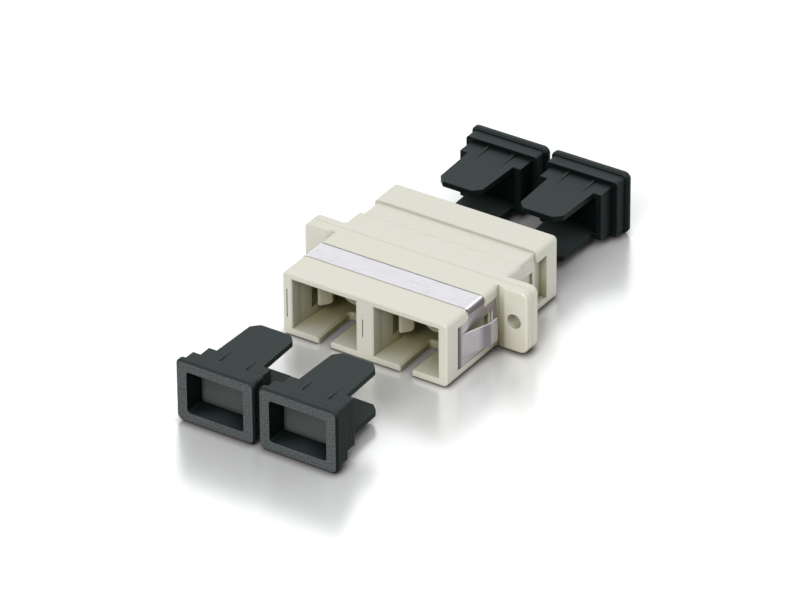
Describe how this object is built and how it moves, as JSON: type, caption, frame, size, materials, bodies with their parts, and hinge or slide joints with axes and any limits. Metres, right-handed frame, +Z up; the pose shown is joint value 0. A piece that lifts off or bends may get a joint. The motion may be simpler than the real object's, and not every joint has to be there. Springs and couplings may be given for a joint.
{
  "type": "duplex fibre adapter",
  "caption": "Duplex push-pull fibre adapter with keyed ports, flanged screw ears, a snap-in spring clip and dust caps pulled out of its ports.",
  "frame": {"origin": "middle of the underside, on the plane where the two mouldings meet", "axes": "X across the two ports, +Y along the ports towards the rear end (the clip is at the -Y end), +Z up"},
  "size_m": [0.0346, 0.0712, 0.0094],
  "materials": {
    "housing_plastic": "fine satin moulding",
    "holder_plastic": "smooth moulding",
    "spring_steel": "rolled spring sheet",
    "sleeve_bronze": "bright",
    "cap_plastic": "fine grain"
  },
  "bodies": {
    "adapter": {"front_housing": "housing_plastic", "rear_housing": "housing_plastic", "spring_clip": "spring_steel", "left_alignment_sleeve": "sleeve_bronze", "left_front_latch_holder": "holder_plastic", "left_rear_latch_holder": "holder_plastic", "right_alignment_sleeve": "sleeve_bronze", "right_front_latch_holder": "holder_plastic", "right_rear_latch_holder": "holder_plastic"},
    "left_front_cap": {"left_front_dust_cap": "cap_plastic"},
    "left_rear_cap": {"left_rear_dust_cap": "cap_plastic"},
    "right_front_cap": {"right_front_dust_cap": "cap_plastic"},
    "right_rear_cap": {"right_rear_dust_cap": "cap_plastic"}
  },
  "joints": [
    {"name": "left_front_cap_slide", "type": "slide", "parent": "adapter", "child": "left_front_cap", "axis": [0, 1, 0], "range_m": [0, 0.02195]},
    {"name": "left_rear_cap_slide", "type": "slide", "parent": "adapter", "child": "left_rear_cap", "axis": [0, -1, 0], "range_m": [0, 0.01635]},
    {"name": "right_front_cap_slide", "type": "slide", "parent": "adapter", "child": "right_front_cap", "axis": [0, 1, 0], "range_m": [0, 0.02195]},
    {"name": "right_rear_cap_slide", "type": "slide", "parent": "adapter", "child": "right_rear_cap", "axis": [0, -1, 0], "range_m": [0, 0.01635]}
  ]
}
